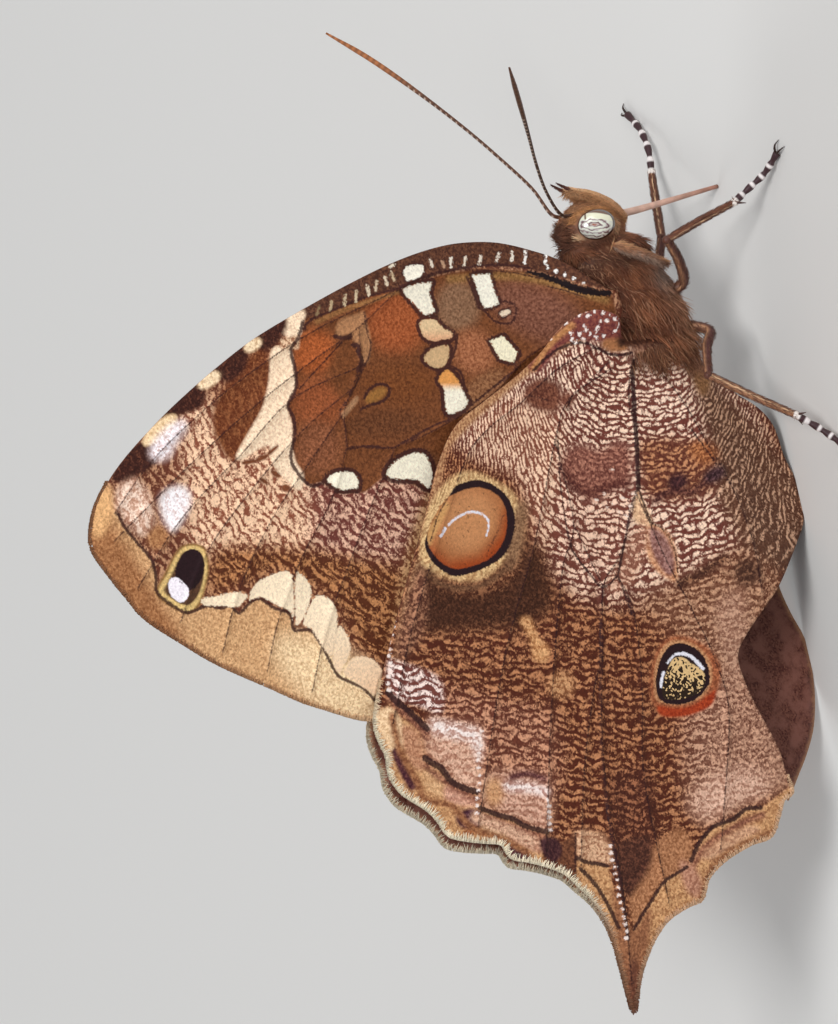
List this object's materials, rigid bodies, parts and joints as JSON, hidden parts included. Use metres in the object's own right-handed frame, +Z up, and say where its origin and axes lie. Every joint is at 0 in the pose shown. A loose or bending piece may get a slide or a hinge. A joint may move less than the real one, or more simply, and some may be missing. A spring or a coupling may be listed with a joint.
{
  "type": "butterfly, opoptera, at rest with wings closed",
  "caption": "Life-size opoptera butterfly standing at rest with its patterned wings closed over its back, feelers spread and legs on the floor.",
  "frame": {"origin": "on the floor, under the middle of the whole insect's box", "axes": "+X towards the head, +Y towards the insect's left side, +Z up from the floor"},
  "size_m": [0.0694, 0.0282, 0.0534],
  "materials": {
    "fur": "dense brown hair and scales over the head, thorax and abdomen",
    "eye_shell": "glossy, silvery yellow with thin brown stripes",
    "horn": "dark brown horny shell with fine scales",
    "tongue": "dull pinkish horn",
    "forewing_scales": "dull powdery scales, rust brown and cream",
    "hindwing_scales": "dull powdery scales, purple brown with ochre"
  },
  "bodies": {
    "root": {"abdomen": "fur", "antenna_left": "horn", "antenna_right": "horn", "eye_left": "eye_shell", "eye_right": "eye_shell", "foreleg_left": "fur", "foreleg_right": "fur", "forewing_left": "forewing_scales", "forewing_right": "forewing_scales", "head": "fur", "hindleg_left": "horn", "hindleg_right": "horn", "hindwing_left": "hindwing_scales", "hindwing_right": "hindwing_scales", "midleg_left": "horn", "midleg_right": "horn", "palp_left": "fur", "palp_right": "fur", "proboscis": "tongue", "thorax": "fur"}
  },
  "joints": []
}
